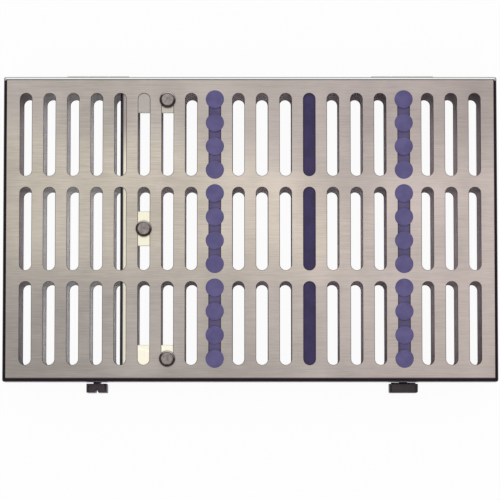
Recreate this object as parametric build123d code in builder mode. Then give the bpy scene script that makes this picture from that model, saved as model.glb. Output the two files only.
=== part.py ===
from build123d import *

import os
from math import acos, degrees

# Dental instrument cassette, closed and lying flat. Millimetres, +Z up, +X to the right, +Y to the hinges.
# The origin is on the underside of the base floor, at the middle of the lid's outline.

os.makedirs("parts", exist_ok=True)

# Sheet metal
SHEET = 0.8
BEND = 2.0
CORNER = 1.5

# Lid and base outlines
LID_X = 290.0
LID_Y = 179.4
LID_TOP = 33.0
SKIRT_FOOT = 20.0
SKIRT_GAP = 0.4
LID_CEILING = LID_TOP - SHEET
BASE_X = LID_X - 2 * (SHEET + SKIRT_GAP)
BASE_Y = LID_Y - 2 * (SHEET + SKIRT_GAP)
BASE_RIM = 30.0
BASE_REAR = BASE_Y / 2
BASE_FRONT_INSIDE = -BASE_Y / 2 + SHEET

# Wash slots: twenty columns in three rows, the row pitch being four column pitches
COLUMNS = 20
COLUMN_PITCH = 13.87
ROW_PITCH = 4 * COLUMN_PITCH
SLOT_WIDTH = 7.5
SLOT_LENGTH = 49.4
SLOT_SIDES = 8
RAIL_COLUMNS = {"left": 9, "right": 17}
LOBE_DIAMETER = 10.8
ROUND_SIDES = 12
WALL_SLOT_LENGTH = 20.0
WALL_SLOT_Z = 11.0
WALL_SLOT_PITCH = 27.0
SIDE_WALL_SLOTS = 6
END_WALL_SLOTS = 4

# Silicone rails, one behind each column of lobes, and the plain strip
NOTCHES = 12
PLUG_DIAMETER = LOBE_DIAMETER - 0.1
PLUG_PROUD = 0.3
FOOT_WIDTH = 15.0
FOOT_HEIGHT = 2.2
FOOT_END = 83.2
RIB_WIDTH = 11.0
NOTCH_WIDTH = 6.0
NOTCH_FLARE = 1.2
BASE_RIB_TOP = 17.0
BASE_RIB_END = 82.0
BASE_NOTCH_DEPTH = 9.0
LID_RIB_BOTTOM = 22.5
LID_RIB_END = 77.0
LID_NOTCH_DEPTH = 4.5
STRIP_COLUMN = 13
STRIP_WIDTH = 14.0
STRIP_DEPTH = 5.0
STRIP_END = 80.0
STRIP_BEVEL = 1.2

# Hinges
HINGE_X = 90.0
HINGE_Y = LID_Y / 2 + 0.7
HINGE_Z = 18.0
BARREL_RADIUS = 1.5
PIN_RADIUS = 0.8
PIN_FIT = 0.05
LEAF = 0.6
KNUCKLES = 3
KNUCKLE = 12.0
KNUCKLE_GAP = 0.3
KNUCKLE_PITCH = KNUCKLE + KNUCKLE_GAP
HINGE_LENGTH = KNUCKLES * KNUCKLE + (KNUCKLES - 1) * KNUCKLE_GAP
LEAF_FREE = 2.0
LEAF_REACH = 10.0
LEAF_ROOT = 1.1

# Divider that hangs from the lid, with three tabs, each under one thumb screw
DIVIDER_X = -75.9
DIVIDER_FLANGE = 6.5
DIVIDER_FOOT = 2.0
DIVIDER_FRONT = -85.7
DIVIDER_REAR = 86.7
DIVIDER_SWING = 13.2
DIVIDER_SLOTS = 5
DIVIDER_SLOT_PITCH = 29.7
DIVIDER_SLOT_Y = -4.0
DIVIDER_SLOT_Z = 15.0
FLANGE_END = LID_Y / 2 - SHEET - 0.3
TAB_DEPTH = 20.4
TABS = {
    "rear": (34.4, -3.5 * COLUMN_PITCH, 76.0, FLANGE_END - TAB_DEPTH / 2),
    "middle": (20.4, -4.5 * COLUMN_PITCH, 0.0, 0.0),
    "front": (34.4, -3.5 * COLUMN_PITCH, -76.2, -FLANGE_END + TAB_DEPTH / 2),
}
KNOB_RADIUS = 4.8
KNOB_SIDES = 16
KNOB_HEIGHT = 2.8
KNOB_BEVEL = 0.9
KNOB_LIFT = 0.1
KNOB_FLOOR = 1.2
SCREW_RADIUS = 2.0
SCREW_FIT = 0.05
SCREW_PASSAGE = 0.2
SCREW_HEAD_RADIUS = 3.6
SCREW_HEAD = 1.4
SCREW_END = 28.0
NUT_RADIUS = 4.0
NUT_HEIGHT = 2.4

# Quarter-turn latches on the front wall of the base
LATCHES = {"left": -90.3, "right": 90.3}
LATCH_Z = 12.0
GRIP_LENGTH = 17.0
GRIP_WIDTH = 12.3
GRIP_DEPTH = 5.2
GRIP_CORNER = 2.0
GRIP_EDGE = 0.4
GRIP_STANDOFF = 0.7
GRIP_INNER = LID_Y / 2 + GRIP_STANDOFF
GROOVE_WIDTH = 1.8
GROOVE_DEPTH = 2.6
BLADE_LENGTH = 14.5
BLADE_WIDTH = 3.8
SHAFT_RADIUS = 2.5
SHAFT_FIT = 0.05
BUSH_RADIUS = 3.3
BUSH_RIM_RADIUS = 4.6
BUSH_RIM = 0.8
BLADE_GAP = 0.3
CAM_REACH = 10.5
CAM_WIDTH = 5.0
CAM = 1.0
CAM_GAP = 0.5
STUD_RADIUS = 1.5
LATCH_NUT_RADIUS = 3.1
LATCH_NUT = 2.0
KEEPER_WIDTH = 7.0
KEEPER_OFFSET = 8.2
KEEPER_REAR = -84.8
KEEPER_FRONT = -86.9
KEEPER_LIP_TOP = LATCH_Z - CAM_WIDTH / 2 - 0.5

ROW_YS = [row * ROW_PITCH for row in (-1, 0, 1)]
LOBE_YS = [(lobe - (NOTCHES - 1) / 2) * COLUMN_PITCH for lobe in range(NOTCHES)]


def column_x(column):
    """Middle of a slot column, counted from the left from 1."""
    return (column - (COLUMNS + 1) / 2) * COLUMN_PITCH


def save(piece, name):
    """Labels one finished piece and writes it under its own name."""
    piece.part.label = name
    export_step(piece.part, f"parts/{name}.step")


def slot(length):
    """Face of one slot along x: the hull of a regular polygon at each end."""
    with BuildSketch() as face:
        with Locations((-(length - SLOT_WIDTH) / 2, 0), ((length - SLOT_WIDTH) / 2, 0)):
            RegularPolygon(SLOT_WIDTH / 2, SLOT_SIDES)
        make_hull()
    return face.sketch


def notch(depth):
    """Face of one notch, open towards +y at the origin, with a flared mouth and a floor in three sides."""
    half = NOTCH_WIDTH / 2
    side = [
        (half + NOTCH_FLARE, 1),
        (half + NOTCH_FLARE, 0),
        (half, -2 * NOTCH_FLARE),
        (half, half / 2 - depth),
        (half / 2, -depth),
    ]
    with BuildSketch() as face:
        with BuildLine():
            Polyline(*side, *[(-x, y) for x, y in reversed(side)], close=True)
        make_face()
    return face.sketch


# The plain slots that the lid plate and the base floor share, and the places of those behind the rails
plain_columns = [c for c in range(1, COLUMNS + 1) if c not in RAIL_COLUMNS.values()]
rail_slots = [Location((column_x(c), y, 0), (0, 0, 90)) for c in RAIL_COLUMNS.values() for y in ROW_YS]
with BuildSketch() as slot_field:
    with Locations(*[Location((column_x(c), y, 0), (0, 0, 90)) for c in plain_columns for y in ROW_YS]):
        add(slot(SLOT_LENGTH))

# ---------------------------------------------------------------- lid plate and skirt
with BuildPart() as lid_plate:
    with BuildSketch(Plane.XY.offset(LID_CEILING)):
        Rectangle(LID_X - 2 * BEND, LID_Y - 2 * BEND)
        add(slot_field.sketch, mode=Mode.SUBTRACT)
        # Two columns of lobes, four round holes in a chain for every slot
        with Locations(*rail_slots):
            Rectangle(3 * COLUMN_PITCH, SLOT_WIDTH, mode=Mode.SUBTRACT)
        with Locations(*[(column_x(c), y) for c in RAIL_COLUMNS.values() for y in LOBE_YS]):
            RegularPolygon(LOBE_DIAMETER / 2, ROUND_SIDES, mode=Mode.SUBTRACT)
    extrude(amount=SHEET)
save(lid_plate, "lid_plate")

with BuildPart() as lid_skirt:
    with BuildSketch(Plane.XY.offset(SKIRT_FOOT)):
        Rectangle(LID_X, LID_Y)
    extrude(amount=LID_TOP - SKIRT_FOOT)
    chamfer(lid_skirt.edges().filter_by(Axis.Z), CORNER)
    fillet(lid_skirt.faces().sort_by(Axis.Z)[-1].edges(), BEND)
    with BuildSketch(Plane.XY.offset(SKIRT_FOOT)) as lid_inside:
        Rectangle(LID_X - 2 * SHEET, LID_Y - 2 * SHEET)
        chamfer(lid_inside.vertices(), CORNER - SHEET / 2)
    extrude(amount=LID_CEILING - SKIRT_FOOT, mode=Mode.SUBTRACT)
    with BuildSketch(Plane.XY.offset(SKIRT_FOOT)):
        Rectangle(LID_X - 2 * BEND, LID_Y - 2 * BEND)
    extrude(amount=LID_TOP, mode=Mode.SUBTRACT)
save(lid_skirt, "lid_skirt")

# ---------------------------------------------------------------- base floor and walls
with BuildPart() as base_floor:
    with BuildSketch():
        Rectangle(BASE_X - 2 * BEND, BASE_Y - 2 * BEND)
        add(slot_field.sketch, mode=Mode.SUBTRACT)
        with Locations(*rail_slots):
            add(slot(SLOT_LENGTH), mode=Mode.SUBTRACT)
    extrude(amount=SHEET)
save(base_floor, "base_floor")

with BuildPart() as base_walls:
    with BuildSketch():
        Rectangle(BASE_X, BASE_Y)
    extrude(amount=BASE_RIM)
    chamfer(base_walls.edges().filter_by(Axis.Z), CORNER)
    fillet(base_walls.faces().sort_by(Axis.Z)[0].edges(), BEND)
    with BuildSketch(Plane.XY.offset(SHEET)) as base_inside:
        Rectangle(BASE_X - 2 * SHEET, BASE_Y - 2 * SHEET)
        chamfer(base_inside.vertices(), CORNER - SHEET / 2)
    extrude(amount=BASE_RIM, mode=Mode.SUBTRACT)
    with BuildSketch():
        Rectangle(BASE_X - 2 * BEND, BASE_Y - 2 * BEND)
    extrude(amount=BASE_RIM, mode=Mode.SUBTRACT)
    # Holes for the two latch bushes, then the wash slots of the four walls
    with BuildSketch(Plane.XZ.offset(-BASE_FRONT_INSIDE - SHEET)):
        with Locations(*[(x, LATCH_Z) for x in LATCHES.values()]):
            RegularPolygon(BUSH_RADIUS, ROUND_SIDES)
    extrude(amount=3 * SHEET, mode=Mode.SUBTRACT)
    with BuildSketch(Plane.YZ.offset(-BASE_X)):
        with Locations((0, WALL_SLOT_Z)):
            with GridLocations(WALL_SLOT_PITCH, 0, SIDE_WALL_SLOTS, 1):
                add(slot(WALL_SLOT_LENGTH))
    extrude(amount=2 * BASE_X, mode=Mode.SUBTRACT)
    with BuildSketch(Plane.XZ.offset(-BASE_Y)):
        with Locations((0, WALL_SLOT_Z)):
            with GridLocations(WALL_SLOT_PITCH, 0, END_WALL_SLOTS, 1):
                add(slot(WALL_SLOT_LENGTH))
    extrude(amount=2 * BASE_Y, mode=Mode.SUBTRACT)
save(base_walls, "base_walls")

# ---------------------------------------------------------------- silicone rails and strip
for side, column in RAIL_COLUMNS.items():
    rail_x = column_x(column)
    with BuildPart() as base_rail:
        with BuildSketch(Plane.XY.offset(SHEET)):
            with Locations((rail_x, 0)):
                Rectangle(FOOT_WIDTH, 2 * FOOT_END)
        extrude(amount=FOOT_HEIGHT)
        with BuildSketch(Plane.YZ.offset(rail_x - RIB_WIDTH / 2)):
            with Locations((0, (SHEET + BASE_RIB_TOP) / 2)):
                Rectangle(2 * BASE_RIB_END, BASE_RIB_TOP - SHEET)
            with Locations(*[(y, BASE_RIB_TOP) for y in LOBE_YS]):
                add(notch(BASE_NOTCH_DEPTH), mode=Mode.SUBTRACT)
        extrude(amount=RIB_WIDTH)
        with BuildSketch():
            with Locations(*[Location((rail_x, y, 0), (0, 0, 90)) for y in ROW_YS]):
                add(slot(SLOT_LENGTH))
        extrude(amount=SHEET)
    save(base_rail, f"base_rail_{side}")

    with BuildPart() as lid_rail:
        with BuildSketch(Plane.XY.offset(LID_CEILING - FOOT_HEIGHT)):
            with Locations((rail_x, 0)):
                Rectangle(FOOT_WIDTH, 2 * FOOT_END)
        extrude(amount=FOOT_HEIGHT)
        with BuildSketch(Plane.YZ.offset(rail_x - RIB_WIDTH / 2)):
            with Locations((0, (LID_CEILING + LID_RIB_BOTTOM) / 2)):
                Rectangle(2 * LID_RIB_END, LID_CEILING - LID_RIB_BOTTOM)
            with Locations(*[Location((y, LID_RIB_BOTTOM, 0), (0, 0, 180)) for y in LOBE_YS[1:-1]]):
                add(notch(LID_NOTCH_DEPTH), mode=Mode.SUBTRACT)
        extrude(amount=RIB_WIDTH)
        with BuildSketch(Plane.XY.offset(LID_CEILING)):
            with Locations(*[(rail_x, y) for y in LOBE_YS]):
                RegularPolygon(PLUG_DIAMETER / 2, ROUND_SIDES)
        extrude(amount=SHEET + PLUG_PROUD)
    save(lid_rail, f"lid_rail_{side}")

with BuildPart() as lid_strip:
    with BuildSketch(Plane.XY.offset(LID_CEILING - STRIP_DEPTH)):
        with Locations((column_x(STRIP_COLUMN), 0)):
            Rectangle(STRIP_WIDTH, 2 * STRIP_END)
    extrude(amount=STRIP_DEPTH)
    chamfer(lid_strip.faces().sort_by(Axis.Z)[0].edges(), STRIP_BEVEL)
save(lid_strip, "lid_strip")


# ---------------------------------------------------------------- hinges
def hinge_leaf(wall_y, root_z, plate_z, knuckles, bore):
    """Both leaves of one body: a plate on the wall at wall_y, roots to the axis and bored knuckles."""
    with BuildPart() as leaf:
        for hinge_x in (-HINGE_X, HINGE_X):
            xs = [hinge_x + (k - (KNUCKLES - 1) / 2) * KNUCKLE_PITCH for k in knuckles]
            with BuildSketch(Plane.XZ.offset(-wall_y)):
                with Locations((hinge_x, plate_z)):
                    Rectangle(HINGE_LENGTH, LEAF_REACH - LEAF_FREE)
            extrude(amount=-LEAF)
            with BuildSketch(Plane.XZ.offset(-wall_y)):
                with Locations(*[(x, (root_z + HINGE_Z) / 2) for x in xs]):
                    Rectangle(KNUCKLE, abs(root_z - HINGE_Z))
            extrude(amount=-LEAF_ROOT)
            for x in xs:
                with BuildSketch(Plane.YZ.offset(x - KNUCKLE / 2)):
                    with Locations((HINGE_Y, HINGE_Z)):
                        RegularPolygon(BARREL_RADIUS, ROUND_SIDES)
                extrude(amount=KNUCKLE)
            with BuildSketch(Plane.YZ.offset(hinge_x - HINGE_LENGTH)):
                with Locations((HINGE_Y, HINGE_Z)):
                    add(bore)
            extrude(amount=2 * HINGE_LENGTH, mode=Mode.SUBTRACT)
    return leaf


# The pin is held in the base knuckles and turns in the lid knuckles
with BuildSketch() as tight_bore:
    Circle(PIN_RADIUS)
with BuildSketch() as free_bore:
    Circle(PIN_RADIUS + PIN_FIT)
plate_half = (LEAF_REACH + LEAF_FREE) / 2
base_hinge_leaves = hinge_leaf(
    BASE_REAR, HINGE_Z - LEAF_FREE, HINGE_Z - plate_half, (0, 2), tight_bore.sketch
)
save(base_hinge_leaves, "base_hinge_leaves")
lid_hinge_leaves = hinge_leaf(
    LID_Y / 2, HINGE_Z + LEAF_FREE, HINGE_Z + plate_half, (1,), free_bore.sketch
)
save(lid_hinge_leaves, "lid_hinge_leaves")

with BuildPart() as hinge_pins:
    with BuildSketch(Plane.YZ.offset(-HINGE_X - HINGE_LENGTH / 2)):
        with Locations((HINGE_Y, HINGE_Z)):
            Circle(PIN_RADIUS)
    extrude(amount=HINGE_LENGTH)
    with BuildSketch(Plane.YZ.offset(HINGE_X - HINGE_LENGTH / 2)):
        with Locations((HINGE_Y, HINGE_Z)):
            Circle(PIN_RADIUS)
    extrude(amount=HINGE_LENGTH)
save(hinge_pins, "hinge_pins")

# ---------------------------------------------------------------- divider, its nuts and thumb screws
with BuildPart() as divider:
    with BuildSketch(Plane.YZ.offset(DIVIDER_X - SHEET / 2)):
        with BuildLine():
            # The rear edge follows a circle about the hinge, so that it clears the rear wall as the lid opens
            sweep_angle = degrees(acos((HINGE_Y - DIVIDER_REAR) / DIVIDER_SWING))
            swing = CenterArc((HINGE_Y, HINGE_Z), DIVIDER_SWING, 180, -sweep_angle)
            Polyline(
                swing @ 1,
                (DIVIDER_REAR, LID_CEILING),
                (DIVIDER_FRONT, LID_CEILING),
                (DIVIDER_FRONT, DIVIDER_FOOT),
                (HINGE_Y - DIVIDER_SWING, DIVIDER_FOOT),
                swing @ 0,
            )
        make_face()
    extrude(amount=SHEET)
    with BuildSketch(Plane.XY.offset(LID_CEILING - SHEET)):
        with Locations((DIVIDER_X + (DIVIDER_FLANGE - SHEET) / 2, 0)):
            Rectangle(DIVIDER_FLANGE, 2 * FLANGE_END)
        for tab_length, screw_x, screw_y, tab_y in TABS.values():
            with Locations((DIVIDER_X + (tab_length - SHEET) / 2, tab_y)):
                Rectangle(tab_length, TAB_DEPTH)
            with Locations((screw_x, screw_y)):
                RegularPolygon(SCREW_RADIUS + SCREW_PASSAGE, ROUND_SIDES, mode=Mode.SUBTRACT)
    extrude(amount=SHEET)
    with BuildSketch(Plane.YZ.offset(DIVIDER_X - SHEET)):
        with Locations((DIVIDER_SLOT_Y, DIVIDER_SLOT_Z)):
            with GridLocations(DIVIDER_SLOT_PITCH, 0, DIVIDER_SLOTS, 1):
                add(slot(WALL_SLOT_LENGTH))
    extrude(amount=2 * SHEET, mode=Mode.SUBTRACT)
save(divider, "divider")

with BuildPart() as divider_nuts:
    with BuildSketch(Plane.XY.offset(LID_CEILING - SHEET - NUT_HEIGHT)):
        with Locations(*[(x, y) for _, x, y, _ in TABS.values()]):
            RegularPolygon(NUT_RADIUS, 6)
            RegularPolygon(SCREW_RADIUS + SCREW_FIT, ROUND_SIDES, major_radius=False, mode=Mode.SUBTRACT)
    extrude(amount=NUT_HEIGHT)
save(divider_nuts, "divider_nuts")

for place, (_, screw_x, screw_y, _) in TABS.items():
    knob_foot = LID_TOP + KNOB_LIFT
    head_foot = knob_foot + KNOB_FLOOR
    with BuildPart() as divider_knob:
        with BuildSketch(Plane.XY.offset(knob_foot)):
            with Locations((screw_x, screw_y)):
                RegularPolygon(KNOB_RADIUS, KNOB_SIDES)
        extrude(amount=KNOB_HEIGHT)
        chamfer(divider_knob.faces().sort_by(Axis.Z)[-1].edges(), KNOB_BEVEL)
        with BuildSketch(Plane.XY.offset(knob_foot)):
            with Locations((screw_x, screw_y)):
                RegularPolygon(SCREW_RADIUS, ROUND_SIDES, major_radius=False)
        extrude(amount=KNOB_HEIGHT, mode=Mode.SUBTRACT)
        with BuildSketch(Plane.XY.offset(head_foot)):
            with Locations((screw_x, screw_y)):
                RegularPolygon(SCREW_HEAD_RADIUS, ROUND_SIDES)
        extrude(amount=KNOB_HEIGHT, mode=Mode.SUBTRACT)
    save(divider_knob, f"divider_knob_{place}")

    with BuildPart() as divider_screw:
        with BuildSketch(Plane.XY.offset(SCREW_END)):
            with Locations((screw_x, screw_y)):
                Circle(SCREW_RADIUS)
        extrude(amount=head_foot - SCREW_END)
        with BuildSketch(Plane.XY.offset(head_foot)):
            with Locations((screw_x, screw_y)):
                RegularPolygon(SCREW_HEAD_RADIUS, ROUND_SIDES)
        extrude(amount=SCREW_HEAD)
    save(divider_screw, f"divider_screw_{place}")

# ---------------------------------------------------------------- latches: bushes, grips, cams, nuts and keepers
with BuildPart() as latch_bushes:
    with BuildSketch(Plane.XZ.offset(-BASE_FRONT_INSIDE)):
        with Locations(*[(x, LATCH_Z) for x in LATCHES.values()]):
            RegularPolygon(BUSH_RADIUS, ROUND_SIDES)
    extrude(amount=SHEET)
    with BuildSketch(Plane.XZ.offset(BASE_Y / 2)):
        with Locations(*[(x, LATCH_Z) for x in LATCHES.values()]):
            RegularPolygon(BUSH_RIM_RADIUS, ROUND_SIDES)
    extrude(amount=BUSH_RIM)
    with BuildSketch(Plane.XZ.offset(-BASE_FRONT_INSIDE - SHEET)):
        with Locations(*[(x, LATCH_Z) for x in LATCHES.values()]):
            Circle(SHAFT_RADIUS + SHAFT_FIT)
    extrude(amount=4 * SHEET, mode=Mode.SUBTRACT)
save(latch_bushes, "latch_bushes")

cam_outer_y = -BASE_FRONT_INSIDE - CAM_GAP
for side, latch_x in LATCHES.items():
    # The left grip stands upright with its cam up; the right grip lies flat with its cam towards the middle
    upright = side == "left"
    turn = 90 if upright else 180
    with BuildPart() as latch_grip:
        with BuildSketch(Plane.XZ.offset(GRIP_INNER)):
            with Locations(Location((latch_x, LATCH_Z, 0), (0, 0, turn))):
                Rectangle(GRIP_LENGTH, GRIP_WIDTH)
        extrude(amount=GRIP_DEPTH)
        chamfer(latch_grip.edges().filter_by(Axis.Y), GRIP_CORNER)
        chamfer(latch_grip.faces().sort_by(Axis.Y)[0].edges(), GRIP_EDGE)
        blade_foot = BASE_Y / 2 + BUSH_RIM + BLADE_GAP
        with BuildSketch(Plane.XZ.offset(blade_foot)):
            with Locations(Location((latch_x, LATCH_Z, 0), (0, 0, turn))):
                Rectangle(BLADE_LENGTH, BLADE_WIDTH)
        extrude(amount=GRIP_INNER - blade_foot)
        with BuildSketch(Plane.XZ.offset(cam_outer_y)):
            with Locations((latch_x, LATCH_Z)):
                Circle(SHAFT_RADIUS)
        extrude(amount=blade_foot - cam_outer_y)
        with BuildSketch(Plane.XZ.offset(cam_outer_y - CAM - LATCH_NUT)):
            with Locations((latch_x, LATCH_Z)):
                RegularPolygon(STUD_RADIUS, ROUND_SIDES)
        extrude(amount=CAM + LATCH_NUT)
        groove_plane = Plane.XY.offset(LATCH_Z) if upright else Plane.YZ.offset(latch_x)
        groove_front = -GRIP_INNER - GRIP_DEPTH
        if upright:
            groove = [
                (latch_x - GROOVE_WIDTH / 2, groove_front),
                (latch_x, groove_front + GROOVE_DEPTH),
                (latch_x + GROOVE_WIDTH / 2, groove_front),
            ]
        else:
            groove = [
                (groove_front, LATCH_Z - GROOVE_WIDTH / 2),
                (groove_front + GROOVE_DEPTH, LATCH_Z),
                (groove_front, LATCH_Z + GROOVE_WIDTH / 2),
            ]
        with BuildSketch(groove_plane):
            with BuildLine():
                Polyline(*groove, close=True)
            make_face()
        extrude(amount=GRIP_LENGTH, both=True, mode=Mode.SUBTRACT)
    save(latch_grip, f"latch_grip_{side}")

    with BuildPart() as latch_cam:
        with BuildSketch(Plane.XZ.offset(cam_outer_y - CAM)):
            with Locations(Location((latch_x, LATCH_Z, 0), (0, 0, turn))):
                with Locations((CAM_REACH / 2, 0)):
                    Rectangle(CAM_REACH, CAM_WIDTH)
                RegularPolygon(SHAFT_RADIUS, ROUND_SIDES)
                RegularPolygon(STUD_RADIUS, ROUND_SIDES, mode=Mode.SUBTRACT)
        extrude(amount=CAM)
    save(latch_cam, f"latch_cam_{side}")

    with BuildPart() as latch_nut:
        with BuildSketch(Plane.XZ.offset(cam_outer_y - CAM - LATCH_NUT)):
            with Locations((latch_x, LATCH_Z)):
                RegularPolygon(LATCH_NUT_RADIUS, 6)
                RegularPolygon(STUD_RADIUS, ROUND_SIDES, mode=Mode.SUBTRACT)
        extrude(amount=LATCH_NUT)
    save(latch_nut, f"latch_nut_{side}")

with BuildPart() as latch_keepers:
    for outboard, latch_x in zip((-1, 1), LATCHES.values()):
        with BuildSketch(Plane.YZ.offset(latch_x + outboard * KEEPER_OFFSET - KEEPER_WIDTH / 2)):
            with BuildLine():
                Polyline(
                    (KEEPER_REAR, LID_CEILING),
                    (KEEPER_REAR, KEEPER_LIP_TOP - SHEET),
                    (KEEPER_FRONT, KEEPER_LIP_TOP - SHEET),
                    (KEEPER_FRONT, KEEPER_LIP_TOP),
                    (KEEPER_REAR - SHEET, KEEPER_LIP_TOP),
                    (KEEPER_REAR - SHEET, LID_CEILING - SHEET),
                    (KEEPER_FRONT, LID_CEILING - SHEET),
                    (KEEPER_FRONT, LID_CEILING),
                    close=True,
                )
            make_face()
        extrude(amount=KEEPER_WIDTH)
save(latch_keepers, "latch_keepers")
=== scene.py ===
from math import acos, cos, pi, radians, sin

import bpy
import numpy as np
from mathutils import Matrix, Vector


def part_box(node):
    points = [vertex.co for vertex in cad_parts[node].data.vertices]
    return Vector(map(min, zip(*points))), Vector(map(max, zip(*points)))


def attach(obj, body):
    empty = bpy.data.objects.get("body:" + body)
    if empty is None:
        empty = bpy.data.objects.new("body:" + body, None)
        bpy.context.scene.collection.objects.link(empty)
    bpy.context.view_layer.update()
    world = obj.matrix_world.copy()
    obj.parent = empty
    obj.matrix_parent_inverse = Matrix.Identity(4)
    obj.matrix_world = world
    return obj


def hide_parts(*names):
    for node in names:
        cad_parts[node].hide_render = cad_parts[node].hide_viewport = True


# Looks of the dental instrument cassette. Lengths are in millimetres up to the point where a mesh is made.

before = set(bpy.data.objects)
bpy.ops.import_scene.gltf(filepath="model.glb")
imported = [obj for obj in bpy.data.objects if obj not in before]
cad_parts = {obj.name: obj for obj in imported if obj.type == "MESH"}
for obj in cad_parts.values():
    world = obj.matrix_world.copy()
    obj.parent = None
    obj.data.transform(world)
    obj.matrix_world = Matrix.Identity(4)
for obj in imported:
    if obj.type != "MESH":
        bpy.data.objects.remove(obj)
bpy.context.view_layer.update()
MM = 0.001


# ================================================================ places taken from the CAD nodes
def box_mm(node):
    """Lowest and highest corner of a CAD node, in millimetres."""
    low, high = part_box(node)
    return np.array(low) / MM, np.array(high) / MM


plate_low, plate_high = box_mm("lid_plate")
skirt_low, skirt_high = box_mm("lid_skirt")
floor_low, floor_high = box_mm("base_floor")
walls_low, walls_high = box_mm("base_walls")
SHEET = plate_high[2] - plate_low[2]
BEND = plate_low[0] - skirt_low[0]
CORNER = 1.2  # radius of the box's upright corners
HOLE_EDGE = 0.3  # how far the wall of a slot lies inside its size at the sheet's faces
pin_low, pin_high = box_mm("hinge_pins")
HINGE_Y, HINGE_Z = (pin_low + pin_high)[1:] / 2

# Wash slots: twenty columns in three rows
COLUMNS = 20
PITCH = 13.87
SLOT_WIDTH = 7.5
SLOT_LENGTH = 49.4
ROW_PITCH = 4 * PITCH
ROWS = np.array([-1, 0, 1]) * ROW_PITCH
COLUMN_XS = (np.arange(COLUMNS) - (COLUMNS - 1) / 2) * PITCH
LOBE_RADIUS = 5.4
LOBES = 12
ROW_LOBES = LOBES // len(ROWS)
LOBE_YS = (np.arange(LOBES) - (LOBES - 1) / 2) * PITCH
RAILS = {"left": COLUMN_XS[8], "right": COLUMN_XS[16]}


# ================================================================ meshes from arrays
QUARTER = np.array([[0, 1], [-1, 0]])  # turns a row of (x, y) by 90 degrees
HALF_ROUND = np.linspace(0, pi, 9)  # angles over a sheet's rounded edge
SAME_PLACE = 1e-4  # points this close are one
SHARP_ANGLE = radians(35.0)


def grid(rows, columns, close_rows=False, close_columns=False):
    """Quads of a rows x columns grid of vertices, closed round either way if asked."""
    i = np.arange(rows if close_rows else rows - 1)[:, None]
    j = np.arange(columns if close_columns else columns - 1)[None, :]
    ni, nj = (i + 1) % rows, (j + 1) % columns
    quads = np.stack([i * columns + j, i * columns + nj, ni * columns + nj, ni * columns + j], axis=-1)
    return quads.reshape(-1, 4)


def surface(points, close_rows=False, close_columns=False):
    """(points, quads) of an array of shape (rows, columns, 3)."""
    rows, columns = points.shape[:2]
    return points.reshape(-1, 3), grid(rows, columns, close_rows, close_columns)


def join(*parts):
    """Stacks (points, quads) pairs into one pair, the indices shifted."""
    starts = np.cumsum([0] + [len(p) for p, _ in parts])
    return np.concatenate([p for p, _ in parts]), np.concatenate([f + s for (_, f), s in zip(parts, starts)])


def turned(part, flip=False, **axes):
    """The part with its axes given anew, each as a function of the old (x, y, z) arrays."""
    x, y, z = part[0].T
    moved = np.stack([axes[k](x, y, z) if k in axes else v for k, v in zip("xyz", (x, y, z))], axis=-1)
    return moved, part[1][:, ::-1] if flip else part[1]


def shifted(part, x=0.0, y=0.0, z=0.0):
    """The part moved."""
    return part[0] + (x, y, z), part[1]


def merged(points, faces):
    """The same surface with points in one place made one."""
    places = np.round(points / SAME_PLACE).astype(np.int64)
    _, first, back = np.unique(places, axis=0, return_index=True, return_inverse=True)
    return points[first], back.reshape(-1)[faces]


def make(node, word, part, material, body):
    """Object in place of a CAD node, named after it and the word: doubles are merged, and quads that collapse
    on a side are made triangles."""
    name = f"{node}_{word}"
    points, faces = merged(*part)
    kept = faces != np.roll(faces, -1, axis=1)
    sound = kept.sum(axis=1) > 2
    faces, kept = faces[sound], kept[sound]
    total = kept.sum(axis=1)
    mesh = bpy.data.meshes.new(name)
    mesh.vertices.add(len(points))
    mesh.vertices.foreach_set("co", (points * MM).ravel())
    mesh.loops.add(int(total.sum()))
    mesh.loops.foreach_set("vertex_index", faces[kept].astype(np.int32))
    mesh.polygons.add(len(faces))
    mesh.polygons.foreach_set("loop_start", (np.cumsum(total) - total).astype(np.int32))
    mesh.polygons.foreach_set("loop_total", total.astype(np.int32))
    mesh.update(calc_edges=True)
    mesh.validate()
    mesh.materials.append(material)
    mesh.shade_smooth()
    mesh.set_sharp_from_angle(angle=SHARP_ANGLE)
    piece = bpy.data.objects.new(name, mesh)
    bpy.context.collection.objects.link(piece)
    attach(piece, body)
    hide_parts(node)


def circle(radius, steps=48):
    """Anticlockwise circle (r cos t, r sin t)."""
    t = np.arange(steps) * 2 * pi / steps
    return radius * np.stack([np.cos(t), np.sin(t)], axis=-1)


def rounded_rectangle(half_x, half_y, radius, steps=6):
    """Anticlockwise rectangle with round corners, from the far end of its right side."""
    t = np.linspace(0, pi / 2, steps + 1)
    quarters = [
        (sx * (half_x - radius) + radius * np.cos(t + a), sy * (half_y - radius) + radius * np.sin(t + a))
        for sx, sy, a in ((1, 1, 0), (-1, 1, pi / 2), (-1, -1, pi), (1, -1, 3 * pi / 2))
    ]
    return np.concatenate([np.stack(q, axis=-1) for q in quarters])


def outward(outline):
    """Unit normals of a closed anticlockwise outline, pointing out of it."""
    along = np.roll(outline, -1, axis=0) - np.roll(outline, 1, axis=0)
    normal = np.stack([along[:, 1], -along[:, 0]], axis=-1)
    return normal / np.linalg.norm(normal, axis=1, keepdims=True)


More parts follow.
